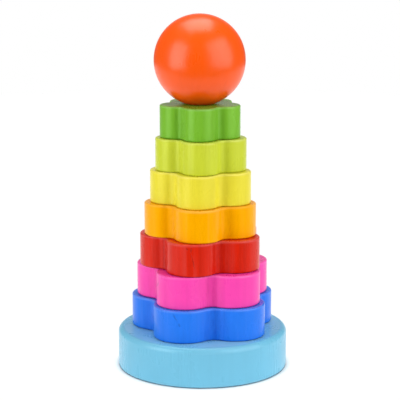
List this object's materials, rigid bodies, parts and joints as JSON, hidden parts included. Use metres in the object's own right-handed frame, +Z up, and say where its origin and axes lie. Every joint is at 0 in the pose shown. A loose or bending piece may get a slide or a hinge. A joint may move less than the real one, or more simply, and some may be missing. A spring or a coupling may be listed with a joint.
{
  "type": "flower ring stacking tower",
  "caption": "Wooden stacking tower: flower-shaped rings in falling sizes on a peg over a round base, with a ball on top. Every ring and the ball lift off.",
  "frame": {"origin": "middle of the base disc's underside", "axes": "+Z up along the peg; -Y faces the picture's camera"},
  "size_m": [0.0852, 0.0852, 0.178],
  "materials": {
    "base_disc": "satin paint",
    "peg": "bare sanded wood",
    "peg_screw": "zinc plated",
    "ring_blue": "satin paint",
    "ring_pink": "satin paint",
    "ring_red": "satin paint",
    "ring_orange": "satin paint",
    "ring_yellow": "satin paint",
    "ring_lime": "satin paint",
    "ring_green": "satin paint",
    "ball": "satin paint"
  },
  "bodies": {
    "base": {"base_disc": "base_disc", "peg": "peg", "peg_screw": "peg_screw"},
    "ring_blue": {"ring_blue": "ring_blue"},
    "ring_pink": {"ring_pink": "ring_pink"},
    "ring_red": {"ring_red": "ring_red"},
    "ring_orange": {"ring_orange": "ring_orange"},
    "ring_yellow": {"ring_yellow": "ring_yellow"},
    "ring_lime": {"ring_lime": "ring_lime"},
    "ring_green": {"ring_green": "ring_green"},
    "ball": {"ball": "ball"}
  },
  "joints": [
    {"name": "ring_blue_lift", "type": "slide", "parent": "base", "child": "ring_blue", "axis": [0, 0, 1], "range_m": [0, 0.14]},
    {"name": "ring_pink_lift", "type": "slide", "parent": "ring_blue", "child": "ring_pink", "axis": [0, 0, 1], "range_m": [0, 0.123]},
    {"name": "ring_red_lift", "type": "slide", "parent": "ring_pink", "child": "ring_red", "axis": [0, 0, 1], "range_m": [0, 0.106]},
    {"name": "ring_orange_lift", "type": "slide", "parent": "ring_red", "child": "ring_orange", "axis": [0, 0, 1], "range_m": [0, 0.09]},
    {"name": "ring_yellow_lift", "type": "slide", "parent": "ring_orange", "child": "ring_yellow", "axis": [0, 0, 1], "range_m": [0, 0.073]},
    {"name": "ring_lime_lift", "type": "slide", "parent": "ring_yellow", "child": "ring_lime", "axis": [0, 0, 1], "range_m": [0, 0.056]},
    {"name": "ring_green_lift", "type": "slide", "parent": "ring_lime", "child": "ring_green", "axis": [0, 0, 1], "range_m": [0, 0.04]},
    {"name": "ball_lift", "type": "slide", "parent": "ring_green", "child": "ball", "axis": [0, 0, 1], "range_m": [0, 0.03]}
  ]
}
